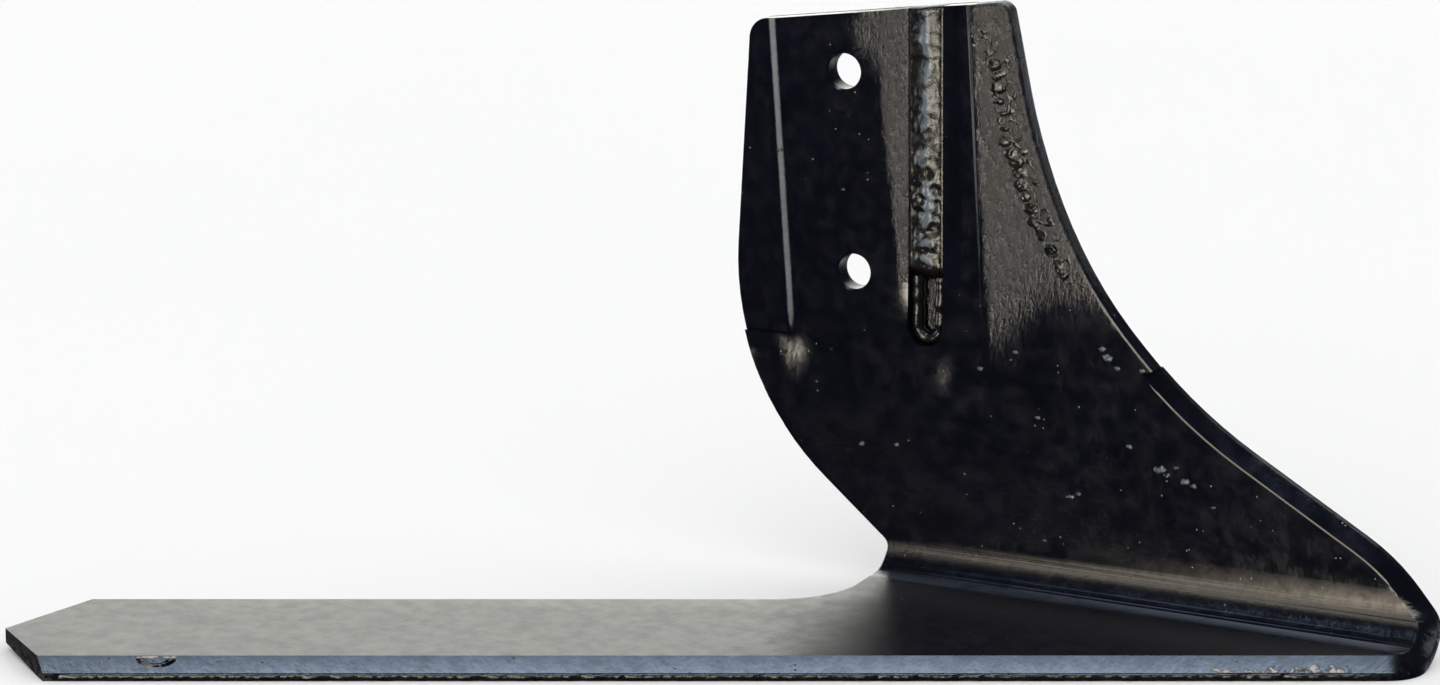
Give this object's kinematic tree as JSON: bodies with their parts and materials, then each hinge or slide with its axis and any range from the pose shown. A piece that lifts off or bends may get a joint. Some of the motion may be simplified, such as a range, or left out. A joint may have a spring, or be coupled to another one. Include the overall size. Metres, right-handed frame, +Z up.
{
  "type": "digger knife share",
  "caption": "L-shaped digging knife: an upright bolt-on leg bent through a smooth curve into a flat, bevelled undercutting blade with a pointed tip.",
  "frame": {"origin": "centre of the lower bolt hole on the bolting face at the back of the leg's pressed pad", "axes": "+X is the direction of travel and runs along the bend between leg and blade, +Y points out of the back of the leg along the bolts, +Z is up; the blade lies flat in the XY plane below the origin, and its cutting edge is turned 28 degrees from X"},
  "size_m": [0.4647, 0.2701, 0.2264],
  "materials": {
    "black_enamel": "gloss",
    "weld_metal": "gloss",
    "hard_weld": "satin"
  },
  "bodies": {
    "root": {"knife_plate": "black_enamel", "rear_bar": "black_enamel", "slot_weld": "weld_metal", "shin_hardfacing": "hard_weld", "edge_hardfacing": "hard_weld", "toe_overlay": "hard_weld"}
  },
  "joints": []
}
